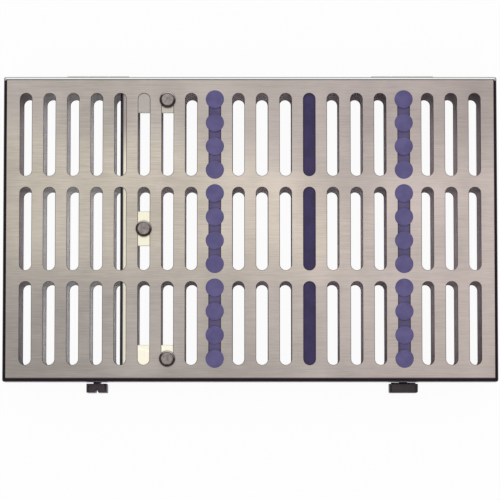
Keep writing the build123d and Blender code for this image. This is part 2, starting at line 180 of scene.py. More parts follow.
def pad(outline, low, high, edge_low, edge_high, dome=0.0, steps=4):
    """Solid over a convex outline from z low to high with both edges rounded: inset e (1 - cos a), height
    e (1 - sin a). The top swells to high + dome (1 - s s) at the share s of the way out from the middle."""
    normal = outward(outline)
    middle = (outline.max(axis=0) + outline.min(axis=0)) / 2
    a = np.linspace(0, pi / 2, steps + 1)
    rings = [(outline * 0 + middle, low)]
    rings += [(outline - normal * edge_low * (1 - np.sin(t)), low + edge_low * (1 - np.cos(t))) for t in a]
    rings += [(outline - normal * edge_high * (1 - np.cos(t)), high - edge_high * (1 - np.sin(t))) for t in a]
    top = outline - normal * edge_high
    shares = np.linspace(0.8, 0, 5) if dome else [0.0]
    rings += [(middle + (top - middle) * s, high + dome * (1 - s * s)) for s in shares]
    points = np.stack([np.column_stack([xy, np.full(len(xy), z)]) for xy, z in rings])
    return surface(points, close_columns=True)


def bar(low, high, edge):
    """Block between two corners with rounded edges."""
    low, high = np.array(low, float), np.array(high, float)
    outline = rounded_rectangle(*(high - low)[:2] / 2, edge) + (low + high)[:2] / 2
    return pad(outline, low[2], high[2], edge, edge)


def lathe(profile, steps=48, close=False):
    """Turns (radius, height) points round z."""
    radius, height = np.array(profile, float).T
    t = np.arange(steps) * 2 * pi / steps
    x, y, z = np.outer(radius, np.cos(t)), np.outer(radius, np.sin(t)), np.outer(height, np.ones(steps))
    return surface(np.stack([x, y, z], axis=-1), close_rows=close, close_columns=True)


def tube(inner, outer, low, high, edge=0.15, steps=36):
    """Ring from height low to high with its outer edges broken."""
    profile = [(inner, low), (outer - edge, low), (outer, low + edge)]
    profile += [(outer, high - edge), (outer - edge, high), (inner, high)]
    return lathe(profile, steps, close=True)


# ---------------------------------------------------------------- sheet with holes, in (u, v, depth)
END_STEPS = 16  # steps round a slot's end and along a cell's side
GUARD = 0.05  # flat ring kept round each hole


def slot_hole(width, length, side=(-1.0, 1.0), steps=END_STEPS):
    """Slot along v: right side (r, a s), end (r cos t, a + r sin t), and the same turned half round.
    Returns the outline and the points of the square from -1 to 1 that it is joined to."""
    r, a = width / 2, (length - width) / 2
    side = np.asarray(side)[:-1]
    t = np.linspace(0, pi, steps + 1)[:-1]
    outline = np.hstack([(0 * side + r, a * side), (r * np.cos(t), a + r * np.sin(t))]).T
    square = np.hstack([(0 * side + 1, side), (1 - 2 * t / pi, 0 * t + 1)]).T
    return np.concatenate([outline, -outline]), np.concatenate([square, -square])


def lobed_hole(steps=END_STEPS, lobe_steps=8):
    """Round lobes in a chain joined by necks as wide as a slot, in the form that slot_hole returns, and the
    shares of the right side at which its points lie. A lobe meets its neck where cos phi is w / 2 r."""
    phi = acos(SLOT_WIDTH / 2 / LOBE_RADIUS)
    centres = (np.arange(ROW_LOBES) - (ROW_LOBES - 1) / 2) * PITCH
    t = np.linspace(-phi, phi, lobe_steps + 1)
    x = np.tile(LOBE_RADIUS * np.cos(t), ROW_LOBES)
    y = (centres[:, None] + LOBE_RADIUS * np.sin(t)).ravel()
    side = y / y[-1]
    t = np.linspace(phi, pi - phi, steps + 1)[:-1]
    end = (LOBE_RADIUS * np.cos(t), centres[-1] + LOBE_RADIUS * np.sin(t))
    outline = np.hstack([(x[:-1], y[:-1]), end]).T
    square_end = (1 - 2 * (t - phi) / (pi - 2 * phi), 0 * t + 1)
    square = np.hstack([(0 * side[:-1] + 1, side[:-1]), square_end]).T
    return (np.concatenate([outline, -outline]), np.concatenate([square, -square])), side


def round_hole(radius, steps=END_STEPS):
    """Round hole, in the form that slot_hole returns."""
    t = np.linspace(-pi / 4, pi / 4, steps + 1)[:-1]
    outline = np.column_stack([radius * np.cos(t), radius * np.sin(t)])
    square = np.column_stack([0 * t + 1, 4 * t / pi])
    turns = [np.linalg.matrix_power(QUARTER, k) for k in range(4)]
    return np.concatenate([outline @ m for m in turns]), np.concatenate([square @ m for m in turns])


def across(hole):
    """The hole turned by a quarter, so that a slot runs along u."""
    return hole[0] @ QUARTER, hole[1] @ QUARTER


def cell(hole, centre, u_range, v_range, edge=HOLE_EDGE):
    """One hole with the sheet round it: rings from the cell's rim over the face, round the hole's broken
    edge, down its wall and back over the other side. The hole has its size at the sheet's faces, and its
    wall lies e further in: inset e sin a, depth e (1 - cos a), both halves within the sheet."""
    edge = min(edge, SHEET / 2)
    outline, square = hole
    low, high = np.array([u_range, v_range]).T
    rim = (low + high) / 2 + square * (high - low) / 2
    outline = outline + centre
    normal = outward(outline)
    a = np.linspace(0, pi / 2, 4)
    guard = outline + normal * GUARD
    rings = [(rim, 0.0), (guard, 0.0)]
    rings += [(outline - normal * edge * np.sin(t), edge * (1 - np.cos(t))) for t in a]
    rings += [(outline - normal * edge * np.cos(t), SHEET - edge * (1 - np.sin(t))) for t in a]
    rings += [(guard, SHEET), (rim, SHEET)]
    points = np.stack([np.column_stack([uv, np.full(len(uv), depth)]) for uv, depth in rings])
    return surface(points, close_columns=True)


def blank(us, vs):
    """Sheet with no hole: face and back over the nodes us x vs."""
    u, v = np.meshgrid(us, vs)
    face = surface(np.stack([u, v, 0 * u], axis=-1))
    back = surface(np.stack([u, v, 0 * u + SHEET], axis=-1))
    return join(face, (back[0], back[1][:, ::-1]))


def with_edges(points, faces):
    """The sheet closed by a quad down from each edge of its face that no other quad runs back along."""
    start, end = faces.ravel(), np.roll(faces, -1, axis=1).ravel()
    open_edge = ~np.isin(start * len(points) + end, end * len(points) + start) & (start != end)
    open_edge &= (points[start, 2] < SHEET / 2) & (points[end, 2] < SHEET / 2)
    top = np.stack([points[end[open_edge]], points[start[open_edge]]], axis=1)
    strip = np.concatenate([top, top[:, ::-1] + (0, 0, SHEET)], axis=1)
    return join((points, faces), (strip.reshape(-1, 3), np.arange(len(strip) * 4).reshape(-1, 4)))


def slotted_plate(holes, half_x, half_y):
    """Cells over the rows, the outer columns stretched to the plate's border, and plain sheet in front of and
    behind them."""
    us = np.concatenate([[-half_x], (COLUMN_XS[1:] + COLUMN_XS[:-1]) / 2, [half_x]])
    half_row = ROW_PITCH / 2
    cells = [
        cell(holes[i], (x, y), us[i : i + 2], (y - half_row, y + half_row))
        for i, x in enumerate(COLUMN_XS)
        for y in ROWS
    ]
    fine_us = np.unique(np.round(np.linspace(us[:-1], us[1:], END_STEPS + 1), 6))
    rims = [blank(fine_us, [-half_y, ROWS[0] - half_row]), blank(fine_us, [ROWS[-1] + half_row, half_y])]
    return with_edges(*merged(*join(*cells, *rims)))


def edging(outline):
    """Half-round edge of a sheet along a closed outline (u, v) that keeps the sheet on its right: moved out
    by SHEET / 2 sin a times its mitre, (n1 + n2) / (1 + n1 n2), at depth SHEET / 2 (1 - cos a)."""
    along = np.roll(outline, -1, axis=0) - outline
    along /= np.linalg.norm(along, axis=1, keepdims=True)
    after = np.stack([-along[:, 1], along[:, 0]], axis=-1)
    before = np.roll(after, 1, axis=0)
    mitre = (before + after) / (1 + (before * after).sum(axis=1, keepdims=True))
    a = HALF_ROUND[:, None, None]
    uv = outline + mitre * SHEET / 2 * np.sin(a)
    depth = SHEET / 2 * (1 - np.cos(a)) + 0 * uv[..., :1]
    return surface(np.concatenate([uv, depth], axis=-1), close_columns=True)


# ---------------------------------------------------------------- sheet wrapped round the box
def border(half_x, half_y, along_x, along_y, steps=8):
    """The developed length u round the box from the right side's rear corner, with the outline at the wall's
    outer face and at the bend's inner line. along_x and along_y are nodes of the straights. A corner point is
    reach - CORNER + CORNER (cos t, sin t) outside, and the sharp corner of the inner line inside."""
    reach = np.array([half_x, half_y])
    t = np.linspace(0, pi / 2, steps + 1)
    quarter = np.column_stack([np.cos(t), np.sin(t)])
    outer, inner = [], []
    for turn, (sx, sy) in enumerate([(1, 1), (-1, 1), (-1, -1), (1, -1)]):
        arc = quarter @ np.linalg.matrix_power(QUARTER, turn)
        outer.append(np.array([sx, sy]) * (reach - CORNER) + CORNER * arc)
        inner.append(np.tile(np.array([sx, sy]) * (reach - BEND), (len(t), 1)))
        nodes = np.sort(along_x if turn % 2 == 0 else along_y)[::-1] * sy
        fixed = np.full(len(nodes), sy if turn % 2 == 0 else sx)
        for shrink, rows in ((0, outer), (BEND, inner)):
            level = fixed * (reach[1 - turn % 2] - shrink)
            rows.append(np.column_stack([nodes, level] if turn % 2 == 0 else [level, nodes]))
    outer, inner = np.concatenate(outer), np.concatenate(inner)
    outer, inner = np.concatenate([outer, outer[:1]]), np.concatenate([inner, inner[:1]])
    u = np.concatenate([[0], np.cumsum(np.linalg.norm(np.diff(outer, axis=0), axis=1))])
    return u, outer, inner


def inner_edge(us):
    """Strip through the sheet's thickness along v = 0."""
    u, w = np.meshgrid(us, [SHEET, 0.0])
    return surface(np.stack([u, 0 * u, w], axis=-1))


def wrap(part, track, upside):
    """(u, v, depth) to the wall: v = 0 on the bend's inner line, then the quarter bend, then straight.
    Inward offset d = BEND - (BEND - w) sin a and height BEND - (BEND - w) cos a with a = v / BEND."""
    u, v, w = part[0].T
    table, outer, inner = track
    a = np.clip(v / BEND, 0, pi / 2)
    d = BEND - (BEND - w) * np.sin(a)
    height = BEND - (BEND - w) * np.cos(a) + np.maximum(v - BEND * pi / 2, 0)
    share = d / BEND
    outside = np.stack([np.interp(u, table, outer[:, k]) for k in (0, 1)])
    inside = np.stack([np.interp(u, table, inner[:, k]) for k in (0, 1)])
    x, y = outside * (1 - share) + inside * share
    return np.stack([x, y, upside(height)], axis=-1), part[1]


# ================================================================ materials
class Value:
    """A socket of a material's node tree. Arithmetic on it adds Math nodes, node() any other node."""

    def __init__(self, tree, socket=None):
        self.tree, self.socket = tree, socket

    def node(self, kind, inputs=None, output=0, **settings):
        """Any node of the tree: its settings, its inputs by name or number, and the output that is used."""
        made = self.tree.nodes.new(kind)
        for key, value in settings.items():
            setattr(made, key, value)
        for key, value in (inputs or {}).items():
            if isinstance(value, Value):
                self.tree.links.new(value.socket, made.inputs[key])
            else:
                made.inputs[key].default_value = value
        return Value(self.tree, made.outputs[output])

    def maths(self, operation, *operands):
        """A Math node."""
        return self.node("ShaderNodeMath", dict(enumerate(operands)), operation=operation)

    def __add__(self, other):
        return self.maths("ADD", self, other)

    def __sub__(self, other):
        return self.maths("SUBTRACT", self, other)

    def __rsub__(self, other):
        return self.maths("SUBTRACT", other, self)

    def __mul__(self, other):
        return self.maths("MULTIPLY", self, other)

    __radd__, __rmul__ = __add__, __mul__

    def __abs__(self):
        return self.maths("ABSOLUTE", self)

    def clamp(self):
        """Kept between 0 and 1."""
        return self.maths("MINIMUM", self.maths("MAXIMUM", self, 0.0), 1.0)

    def axis(self, letter):
        """One component of a vector."""
        return self.node("ShaderNodeSeparateXYZ", {0: self}, output=letter)

    def ramp(self, low, high):
        """0 at low, 1 at high, smooth between."""
        inputs = {0: self, 1: low, 2: high, 3: 0.0, 4: 1.0}
        return self.node("ShaderNodeMapRange", inputs, interpolation_type="SMOOTHSTEP")

    def blend(self, first, second):
        """The first colour at 0, the second at 1."""
        first, second = (c if isinstance(c, Value) else (*c, 1.0) for c in (first, second))
        return self.node("ShaderNodeMix", {0: self, 6: first, 7: second}, output=2, data_type="RGBA")

    def times(self, colour):
        """This colour multiplied by another."""
        inputs = {0: 1.0, 6: self, 7: (*colour, 1.0)}
        return self.node("ShaderNodeMix", inputs, output=2, data_type="RGBA", blend_type="MULTIPLY")

    def noise(self, scale, detail, stretch=(1.0, 1.0, 1.0)):
        """Noise of this point, squeezed by stretch along each axis."""
        point = self.node("ShaderNodeMapping", {0: self, 3: stretch})
        inputs = {"Vector": point, "Scale": scale, "Detail": detail, "Roughness": 0.55}
        return self.node("ShaderNodeTexNoise", inputs)


def new_material(name, **constants):
    """A material with one Principled shader: returns it, the shader and the object's own coordinates."""
    material = bpy.data.materials.new(name)
    material.use_nodes = True
    shader = material.node_tree.nodes["Principled BSDF"]
    for key, value in constants.items():
        shader.inputs[key.replace("_", " ")].default_value = value
    point = Value(material.node_tree).node("ShaderNodeTexCoord", output="Object")
    return material, shader, point


def feed(shader, **sockets):
    """Links values to the shader's sockets."""
    for key, value in sockets.items():
        value.tree.links.new(value.socket, shader.inputs[key.replace("_", " ")])


def bump(value, strength, distance):
    """Normal that follows the value as a height, with the distance in metres."""
    inputs = {"Strength": strength, "Distance": distance, "Height": value}
    return value.node("ShaderNodeBump", inputs, output="Normal")


def coordinate(point, letter):
    """One coordinate of a point of the object, in millimetres."""
    return point.axis(letter) * (1 / MM)


def brushed_steel(name, dark, light, stretch, rough=(0.3, 0.42), tint=None):
    """Sheet brushed along the axes that stretch makes long: fine lines, broader streaks and faint clouds.
    The roughness lies between the two of rough, and tint changes the colour by the point's place."""
    material, shader, point = new_material(name, Metallic=1.0)
    lines = point.noise(scale=2600.0, detail=2.0, stretch=stretch)
    streaks = point.noise(scale=420.0, detail=3.0, stretch=stretch)
    clouds = point.noise(scale=22.0, detail=4.0)
    colour = (lines * 0.4 + streaks * 0.12 + clouds * 0.48).ramp(0.3, 0.7).blend(dark, light)
    feed(
        shader,
        Base_Color=tint(point, colour) if tint else colour,
        Roughness=lines * (rough[1] - rough[0]) + rough[0],
        Normal=bump(lines, strength=0.12, distance=0.00004),
    )
    return material


def turned_steel(name, dark, light, tint=None):
    """Machined steel with faint mottling."""
    material, shader, point = new_material(name, Metallic=1.0)
    mottle = point.noise(scale=600.0, detail=4.0)
    colour = mottle.ramp(0.3, 0.7).blend(dark, light)
    feed(shader, Base_Color=tint(point, colour) if tint else colour, Roughness=mottle * 0.1 + 0.24)
    return material


def silicone(name, dark, light, rough=0.42, tint=None):
    """Smooth silicone or plastic with a slightly uneven tone and a fine grain."""
    material, shader, point = new_material(name)
    clouds = point.noise(scale=120.0, detail=3.0)
    grain = point.noise(scale=2500.0, detail=2.0)
    colour = clouds.ramp(0.3, 0.7).blend(dark, light)
    feed(
        shader,
        Base_Color=tint(point, colour) if tint else colour,
        Roughness=clouds * 0.15 + (rough - 0.07),
        Normal=bump(grain, strength=0.1, distance=0.00005),
    )
    return material


def hole_edge_shade(point, colour):
    """Painted shade where either side of the sheet turns into a hole."""
    facing = point.node("ShaderNodeTexCoord", output="Normal").axis("Z")
    # painted shade: a dark ring round each hole's edge
    return (facing * facing).ramp(0.996, 0.85).blend(colour, (0.09, 0.075, 0.09))


def plate_light_and_shade(point, colour):
    """The lid's plate, with light and shade painted in broad patches: a painted highlight in a band across
    the middle that fades to the right, painted shade to the front left and the rear right, redder to the
    right, and painted shade at its front bend and its holes."""
    x, y = coordinate(point, "X"), coordinate(point, "Y")
    # painted shade to the front left and to the rear right
    front_left = (y + x * 0.45).ramp(-140.0, 60.0).blend(colour.times((0.83, 0.83, 0.84)), colour)
    rear_right = y.ramp(25.0, 65.0) * x.ramp(-80.0, 10.0)
    shaded = rear_right.blend(front_left, front_left.times((0.86, 0.86, 0.87)))
    # painted highlight: a broad bright band across the middle of the plate
    middle = y.ramp(-45.0, -5.0) * y.ramp(72.0, 42.0)
    fading = (y + x * 0.4).ramp(66.0, 20.0) * x.ramp(85.0, 20.0)
    painted_sheen = (middle * fading).blend(shaded, shaded.times((1.25, 1.25, 1.17)))
    redder = x.ramp(-120.0, 150.0).blend(painted_sheen, painted_sheen.times((1.03, 0.975, 1.0)))
    # painted shade along the plate's front bend
    bend_y = skirt_low[1] + BEND
    front = y.ramp(bend_y + 0.25, bend_y + 0.55)
    return hole_edge_shade(point, front.blend((0.1, 0.085, 0.1), redder))


def floor_light_and_shade(point, colour):
    """The base floor, with its light and shade painted in: painted shade towards the front, a painted bright
    patch to the left that is also greyer, and painted shade between its rows of slots and at its holes."""
    x, y = coordinate(point, "X"), coordinate(point, "Y")
    # painted shade towards the front, and a painted bright patch to the left
    front = y.ramp(-85.0, 0.0).blend(colour.times((1.15, 1.1, 1.14)), colour.times((1.65, 1.6, 1.66)))
    left = x.ramp(-50.0, -80.0) * x.ramp(-145.0, -120.0)
    bright = left.blend(front, colour.times((2.5, 2.75, 2.75)))
    # painted shade between the rows of slots, under the lid's lands
    slot_end, next_slot = SLOT_LENGTH / 2, ROW_PITCH - SLOT_LENGTH / 2
    aside = abs(y)
    between = aside.ramp(slot_end - 1.2, slot_end + 0.8) * aside.ramp(next_slot + 2.2, next_slot + 0.2)
    return hole_edge_shade(point, between.blend(bright, bright.times((0.68, 0.68, 0.68))))


def painted_skirt_edges(point, colour):
    """The lid's skirt: painted dark reflections along its bends, a painted highlight along the crest of the
    rear one, and a painted shade line round the plate. The base walls, which are lower, keep their colour."""
    y, height = coordinate(point, "Y"), coordinate(point, "Z")
    top, bend_z, bend_y = skirt_high[2], skirt_high[2] - BEND, skirt_high[1] - BEND
    # painted dark reflection along the bends, painted highlight on the rear crest
    bend = height.ramp(bend_z - 0.6, bend_z + 0.6)
    rear = y.ramp(bend_y - 0.3, bend_y)
    line = height.ramp(top - 0.09, top - 0.05)
    rear_highlight = height.ramp(top - 0.8, top - 0.55).blend((0.1, 0.105, 0.105), (0.86, 0.88, 0.87))
    edged = bend.blend(colour, rear.blend((0.036, 0.026, 0.034), rear_highlight))
    # painted shade line round the plate
    return line.blend(edged, (0.03, 0.026, 0.03))


def folded(point, colour):
    """The divider, whose cream colour is a painted bright reflection: plain steel at the rear end of the
    flange and below it, and a painted shade line along the fold.
    """
    plain_steel = (0.42, 0.385, 0.36)
    x, y, height = (coordinate(point, letter) for letter in "XYZ")
    nearer = x.ramp(-53.5, -57.0) * 0.2 + 0.8
    rear = (y.ramp(35.0, 66.0) * nearer).blend(colour, plain_steel)
    low = height.ramp(31.2, 30.0).blend(rear, plain_steel)
    # painted shade line along the fold
    fold_shade = x.ramp(-74.2, -74.8) * height.ramp(29.8, 30.6)
    return fold_shade.blend(low, (0.08, 0.07, 0.09))


def collar_highlight(point, colour):
    """The collars: a painted highlight where they face the hinges."""
    facing = point.node("ShaderNodeTexCoord", output="Normal")
    rear = (facing.axis("Y") * 0.95 + facing.axis("X") * 0.3).ramp(0.05, 0.5)
    # painted highlight on the side towards the hinges
    return rear.blend(colour, (0.62, 0.58, 0.56))


def recess_shade(point, colour):
    """The rails: painted shade below the lid's plate, a little redder and darker than on the plugs."""
    plugs = coordinate(point, "Z").ramp(plate_low[2] - 0.2, plate_low[2] + 0.4)
    # painted shade on the rails below the plate
    return plugs.blend(colour.times((1.02, 0.9, 0.78)), colour)


# How the noise is squeezed along each axis: little along the lines of the brush
ALONG_X = (0.03, 1.0, 1.0)
ALONG_Y = (1.0, 0.03, 1.0)
LEVEL = (0.03, 0.03, 1.0)
UPRIGHT = (1.0, 1.0, 0.05)
# The plate's tint paints a highlight band and patches of shade into its colour
plate_steel = brushed_steel("plate steel", (0.34, 0.312, 0.285), (0.53, 0.485, 0.445), ALONG_X, tint=plate_light_and_shade)
# The walls' tint paints dark reflections, a highlight and a shade line at the lid's bends
wall_steel = brushed_steel(
    "wall steel", (0.24, 0.215, 0.215), (0.40, 0.36, 0.355), LEVEL, rough=(0.26, 0.36), tint=painted_skirt_edges
)
keeper_steel = brushed_steel("keeper steel", (0.30, 0.27, 0.265), (0.44, 0.40, 0.39), UPRIGHT)
# The floor's tint paints its light and shade into its colour
floor_steel = brushed_steel(
    "floor steel", (0.27, 0.24, 0.25), (0.42, 0.375, 0.38), ALONG_X, rough=(0.5, 0.6), tint=floor_light_and_shade
)
# The divider's cream colour is a painted bright reflection; plain steel is its own colour
highlit_divider_steel = brushed_steel("divider steel", (0.8, 0.77, 0.6), (0.95, 0.93, 0.78), ALONG_Y, tint=folded)
screw_steel = turned_steel("screw steel", (0.19, 0.165, 0.16), (0.29, 0.26, 0.25))
rim_steel = turned_steel("knob rim steel", (0.06, 0.048, 0.05), (0.12, 0.10, 0.10), tint=collar_highlight)
fitting_steel = turned_steel("fitting steel", (0.42, 0.395, 0.38), (0.47, 0.44, 0.42))
rail_silicone = silicone("rail silicone", (0.062, 0.050, 0.17), (0.095, 0.079, 0.226), tint=recess_shade)
# The strip's silicone is the rails' silicone darkened: painted shade
shaded_strip_silicone = silicone("strip silicone", (0.013, 0.004, 0.064), (0.030, 0.014, 0.096), rough=0.5)
grip_plastic = silicone("grip plastic", (0.014, 0.006, 0.011), (0.032, 0.018, 0.028), rough=0.38)

# ================================================================ sheet metal
lobed, lobe_side = lobed_hole()
plain = slot_hole(SLOT_WIDTH, SLOT_LENGTH, side=lobe_side)
lid_holes = [lobed if x in RAILS.values() else plain for x in COLUMN_XS]
half_plate = (plate_high - plate_low)[:2] / 2
plate = turned(slotted_plate(lid_holes, *half_plate), z=lambda x, y, w: plate_high[2] - w)
make("lid_plate", "sheet", plate, plate_steel, "lid")

half_floor = (floor_high - floor_low)[:2] / 2
floor_sheet = slotted_plate([slot_hole(SLOT_WIDTH, SLOT_LENGTH)] * COLUMNS, *half_floor)
floor_sheet = turned(floor_sheet, z=lambda x, y, w: floor_high[2] - w)
make("base_floor", "sheet", floor_sheet, floor_steel, "base")


def hem(us, top):
    """Rounded edge of a wrapped sheet: v = top + SHEET / 2 sin a, depth SHEET / 2 (1 - cos a)."""
    u, a = np.meshgrid(us, HALF_ROUND)
    return surface(np.stack([u, top + SHEET / 2 * np.sin(a), SHEET / 2 * (1 - np.cos(a))], axis=-1))


BEND_LENGTH = BEND * pi / 2
bend_vs = np.linspace(0, BEND_LENGTH, 9)
skirt_half = (skirt_high - skirt_low)[:2] / 2
skirt_track = border(*skirt_half, along_x=np.linspace(-140, 140, 15), along_y=np.linspace(-84, 84, 9))
skirt_us = skirt_track[0]
skirt_v = BEND_LENGTH + (skirt_high[2] - skirt_low[2]) - BEND - SHEET / 2
skirt = join(inner_edge(skirt_us), blank(skirt_us, [*bend_vs, skirt_v]), hem(skirt_us, skirt_v))
skirt, skirt_faces = wrap(skirt, skirt_track, lambda height: skirt_high[2] - height)
make("lid_skirt", "sheet", (skirt, skirt_faces[:, ::-1]), wall_steel, "lid")

# Base walls: a band with the wash slots and the bush holes between two plain bands
SIDE_SLOT = 20.0
SIDE_PITCH = 27.0
SIDE_SLOTS, END_SLOTS = 6, 4  # wash slots in each side wall, and in the front and the rear wall
SIDE_SLOT_Z = 11.0
SIDE_HOLE_EDGE = 0.12
BAND = (5.0, 17.0)
BUSH_RADIUS = 3.3
BUSH_CELL = 6.0  # half the width of the cell round a bush hole
latch_low, latch_high = box_mm("latch_grip_right")
LATCH_X = (latch_low[0] + latch_high[0]) / 2
LATCH_Z = (latch_low[2] + latch_high[2]) / 2
walls_half = (walls_high - walls_low)[:2] / 2
end_slot_nodes = (np.arange(END_SLOTS + 1) - END_SLOTS / 2) * SIDE_PITCH
side_nodes = (np.arange(SIDE_SLOTS + 1) - SIDE_SLOTS / 2) * SIDE_PITCH
bush_nodes = LATCH_X + np.array([-BUSH_CELL, BUSH_CELL])
end_nodes = np.concatenate([-bush_nodes, bush_nodes, end_slot_nodes])
walls_track = border(*walls_half, along_x=end_nodes, along_y=side_nodes)


def height_to_v(z):
    """Developed length v up to the height z of a wall."""
    return BEND_LENGTH + z - BEND


def wall_feature(k):
    """What lies between two nodes of the walls' track: "slot", "bush" or "plain"."""
    x, y = walls_track[1][k : k + 2].mean(axis=0)
    on_side, on_end = np.isclose(np.abs([x, y]), walls_half, rtol=0, atol=SAME_PLACE)
    if (on_side and abs(y) < side_nodes[-1]) or (on_end and abs(x) < end_slot_nodes[-1]):
        return "slot"
    if on_end and y < 0 and abs(abs(x) - LATCH_X) < BUSH_CELL:
        return "bush"
    return "plain"


def wall_cell(k):
    """The part of the band between two nodes of the walls' track."""
    us = walls_track[0][k : k + 2]
    band = [height_to_v(z) for z in BAND]
    feature = wall_feature(k)
    if feature == "slot":
        slot = across(slot_hole(SLOT_WIDTH, SIDE_SLOT))
        return cell(slot, (us.mean(), height_to_v(SIDE_SLOT_Z)), us, band, SIDE_HOLE_EDGE)
    if feature == "bush":
        return cell(round_hole(BUSH_RADIUS), (us.mean(), height_to_v(LATCH_Z)), us, band, edge=0.05)
    return blank(us, np.linspace(*band, END_STEPS + 1))


track_steps = range(len(walls_track[0]) - 1)
bush_ranges = [walls_track[0][k : k + 2] for k in track_steps if wall_feature(k) == "bush"]
fine_us = [np.linspace(*us, END_STEPS + 1) for us in bush_ranges]
walls_u = np.unique(np.round(np.concatenate([walls_track[0], *fine_us]), 6))
rim_v = height_to_v(walls_high[2]) - SHEET / 2
walls = join(
    inner_edge(walls_u),
    blank(walls_u, [*bend_vs, height_to_v(BAND[0])]),
    *[wall_cell(k) for k in track_steps],
    blank(walls_u, [height_to_v(BAND[1]), rim_v]),
    hem(walls_u, rim_v),
)
walls = wrap(walls, walls_track, lambda height: height)
make("base_walls", "sheet", walls, wall_steel, "base")

# ================================================================ silicone rails and strip
FOOT_WIDTH = 15.0
RIB_WIDTH = 11.0
RIB_EDGE = 0.4
RIB_START = 0.5  # inside the foot
NOTCH_HALF = 3.0
NOTCH_CORNER = 2.0
FLARE = 1.2


def notched_edge(end, base, top, depth, ys):
    """(y, z) line up the near end of a rib, along its notched top and down the far end.
    A notch has lips y = f sin a, z = 2 f (cos a - 1), straight sides and a floor with round corners."""
    a = np.linspace(0, pi / 2, 6)
    lip = np.column_stack([-NOTCH_HALF - FLARE + FLARE * np.sin(a), 2 * FLARE * (np.cos(a) - 1)])
    corner = NOTCH_CORNER * np.column_stack([1 - np.cos(a), 1 - np.sin(a)]) + (-NOTCH_HALF, -depth)
    half = np.concatenate([lip, corner])
    notch = np.concatenate([half, half[::-1] * (-1, 1)])
    round_end = np.column_stack([1 - np.cos(a), np.sin(a) - 1]) + (-end, top)
    line = np.concatenate([[(-end, base)], round_end, *[notch + (y, top) for y in ys]])
    return np.concatenate([line, round_end[::-1] * (-1, 1), [(end, base)]])


def ridge(line, x, base):
    """Rib as wide as RIB_WIDTH along a (y, z) line, down to the height base, its long edges rounded:
    x = w - e (1 - cos a), inset e (1 - sin a)."""
    along = np.gradient(line, axis=0)
    normal = np.stack([-along[:, 1], along[:, 0]], axis=-1)
    normal /= np.linalg.norm(normal, axis=1, keepdims=True)
    a = np.linspace(0, pi / 2, 5)
    half = RIB_WIDTH / 2
    level = np.column_stack([line[:, 0], np.full(len(line), base)])
    inset = [line - normal * RIB_EDGE * (1 - np.sin(t)) for t in a]
    spread = [half - RIB_EDGE * (1 - np.cos(t)) for t in a]
    rows = [(-half, level)] + [(-w, yz) for w, yz in zip(spread, inset)]
    rows += [(w, yz) for w, yz in zip(spread[::-1], inset[::-1])] + [(half, level)]
    points = np.stack([np.column_stack([np.full(len(yz), x + w), yz]) for w, yz in rows])
    points[..., 2] = np.maximum(points[..., 2], base)
    middle = len(points) // 2
    points[:middle, [0, -1]] = points[0, [0, -1]]
    points[middle:, [0, -1]] = points[-1, [0, -1]]
    points, faces = surface(points, close_rows=True)
    return points, faces[:, ::-1]


FOOT_END = (box_mm("lid_rail_left")[1] - box_mm("lid_rail_left")[0])[1] / 2
FOOT = 2.2
BASE_RIB_END, LID_RIB_END = 82.0, 77.0
BASE_NOTCH, LID_NOTCH = 9.0, 4.5
PLUG_SWELL = 0.12


def rail_foot(x, low, edge):
    """The flat strip that a rib stands on."""
    half = FOOT_WIDTH / 2
    return bar((x - half, -FOOT_END, low), (x + half, FOOT_END, low + FOOT), edge)


def base_rail(x, top):
    """Rail on the floor, with a tongue in each slot of its column."""
    floor_z = floor_high[2]
    line = notched_edge(BASE_RIB_END, floor_z + RIB_START, top, BASE_NOTCH, LOBE_YS)
    tongue_outline = slot_hole(SLOT_WIDTH - 0.1, SLOT_LENGTH - 0.1)[0]
    tongue = pad(tongue_outline, 0.0, floor_z + 0.2, edge_low=0.2, edge_high=0.1)
    tongues = [shifted(tongue, x, y) for y in ROWS]
    return join(rail_foot(x, floor_z, edge=0.4), ridge(line, x, floor_z + RIB_START), *tongues)


def lid_rail(x, low, plug_top):
    """Rail hung under the plate, with a plug in each lobe of its column. Its rib is made upside down."""
    plate_z = plate_low[2]
    line = notched_edge(LID_RIB_END, RIB_START - plate_z, -low, LID_NOTCH, LOBE_YS[1:-1])
    rib = turned(ridge(line, x, RIB_START - plate_z), flip=True, z=lambda x, y, z: -z)
    disc = circle(LOBE_RADIUS - 0.05)
    plug = pad(disc, plate_z - 0.3, plug_top - PLUG_SWELL, edge_low=0.1, edge_high=0.3, dome=PLUG_SWELL)
    return join(rail_foot(x, plate_z - FOOT, edge=0.2), rib, *[shifted(plug, x, y) for y in LOBE_YS])


for side, x in RAILS.items():
    low, high = box_mm(f"base_rail_{side}")
    part = base_rail(x, high[2])
    make(f"base_rail_{side}", "silicone", part, rail_silicone, "base")
    low, high = box_mm(f"lid_rail_{side}")
    part = lid_rail(x, low[2], high[2])
    make(f"lid_rail_{side}", "silicone", part, rail_silicone, "lid")

strip_low, strip_high = box_mm("lid_strip")
strip_outline = rounded_rectangle(*(strip_high - strip_low)[:2] / 2, radius=1.5)
strip = pad(strip_outline, strip_low[2], strip_high[2], edge_low=1.2, edge_high=0.15)
strip = shifted(strip, *(strip_high + strip_low)[:2] / 2)
make("lid_strip", "silicone", strip, shaded_strip_silicone, "lid")

